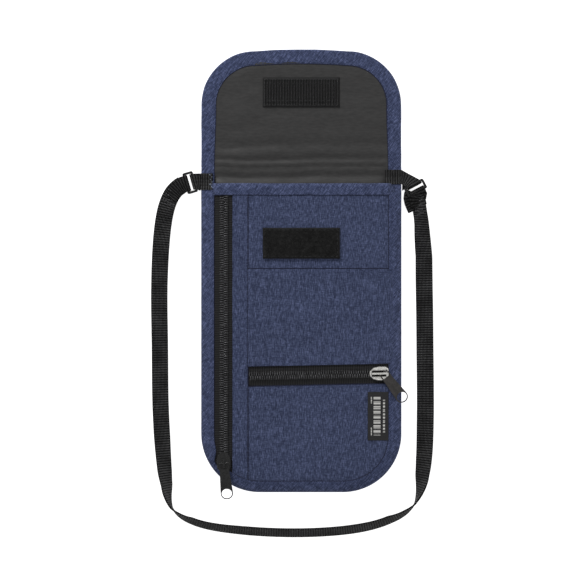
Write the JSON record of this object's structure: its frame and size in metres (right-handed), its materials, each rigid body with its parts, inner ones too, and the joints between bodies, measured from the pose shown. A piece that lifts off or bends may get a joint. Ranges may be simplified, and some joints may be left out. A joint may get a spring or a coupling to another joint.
{
  "type": "neck pouch wallet",
  "caption": "Flat neck pouch wallet with a fold-over flap, hook-and-loop closure, zipped side and lower pockets, a slip pocket and a webbing neck strap on rings.",
  "frame": {"origin": "middle of the back of the pouch, on the surface it lies on", "axes": "+Z out of the front of the pouch, +Y up the pouch towards the opened flap, +X to the right seen from the front"},
  "size_m": [0.1842, 0.3198, 0.0123],
  "materials": {
    "heather_cloth": "woven heather polyester",
    "heather_binding": "woven heather polyester bias binding",
    "lining": "plain woven polyester lining",
    "zip_tape": "knitted polyester tape",
    "zip_coil": "polyester monofilament coil",
    "black_metal": "black enamelled zinc",
    "silver_metal": "nickel plated zinc",
    "black_plastic": "moulded acetal",
    "webbing": "woven polypropylene webbing",
    "hook_tape": "nylon hook tape",
    "loop_tape": "nylon loop tape",
    "label_cloth": "woven damask label"
  },
  "bodies": {
    "root": {"back_panel": "heather_cloth", "back_lining": "lining", "body_binding": "heather_binding", "front_lining": "lining", "front_upper_panel": "heather_cloth", "front_top_hem": "heather_cloth", "slip_pocket_panel": "heather_cloth", "lower_pocket_panel": "heather_cloth", "side_strip": "heather_cloth", "side_pocket_bag": "lining", "lower_pocket_bag": "lining", "side_zip_tape_a": "zip_tape", "side_zip_tape_b": "zip_tape", "side_zip_coil_a": "zip_coil", "side_zip_coil_b": "zip_coil", "side_zip_stops": "black_metal", "lower_zip_tape_a": "zip_tape", "lower_zip_tape_b": "zip_tape", "lower_zip_coil_a": "zip_coil", "lower_zip_coil_b": "zip_coil", "lower_zip_stops": "black_metal", "loop_patch": "loop_tape", "woven_label": "label_cloth", "tab_base_left": "webbing", "tab_base_right": "webbing"},
    "spine": {"spine_outer": "heather_cloth", "spine_lining": "lining", "spine_binding": "heather_binding"},
    "flap": {"flap_outer": "heather_cloth", "flap_lining": "lining", "flap_binding": "heather_binding", "hook_patch": "hook_tape"},
    "strap": {"tab_loop_left": "webbing", "tab_loop_right": "webbing", "strap_ring_left": "black_plastic", "strap_ring_right": "black_plastic", "strap_end_left": "webbing", "strap_end_right": "webbing", "neck_strap": "webbing"},
    "side_slider": {"side_slider": "black_metal"},
    "side_pull": {"side_pull": "black_plastic"},
    "lower_slider": {"lower_slider": "silver_metal"},
    "lower_pull": {"lower_pull": "black_plastic"}
  },
  "joints": [
    {"name": "spine_fold", "type": "hinge", "parent": "root", "child": "spine", "pos_m": [0, 0.1062, 0.0021], "axis": [1, 0, 0], "range_deg": [0, 90]},
    {"name": "flap_fold", "type": "hinge", "parent": "spine", "child": "flap", "pos_m": [0, 0.1165, 0.0021], "axis": [1, 0, 0], "range_deg": [0, 90]},
    {"name": "strap_swing", "type": "hinge", "parent": "root", "child": "strap", "pos_m": [0, 0.1009, 0.004], "axis": [-1, 0, 0], "range_deg": [0, 175]},
    {"name": "side_zip_slide", "type": "slide", "parent": "root", "child": "side_slider", "axis": [0, 1, 0], "range_m": [0, 0.155]},
    {"name": "side_pull_lift", "type": "hinge", "parent": "side_slider", "child": "side_pull", "pos_m": [-0.0502, -0.081, 0.0111], "axis": [-0.9945, -0.1045, 0], "range_deg": [0, 182]},
    {"name": "lower_zip_slide", "type": "slide", "parent": "root", "child": "lower_slider", "axis": [-0.9998, -0.0209, 0], "range_m": [0, 0.075]},
    {"name": "lower_pull_lift", "type": "hinge", "parent": "lower_slider", "child": "lower_pull", "pos_m": [0.05258, -0.02278, 0.0111], "axis": [-0.7912, -0.6115, 0], "range_deg": [0, 90]}
  ],
  "couplings": [
    {"joint": "flap_fold", "follows": "spine_fold", "ratio": 1}
  ]
}
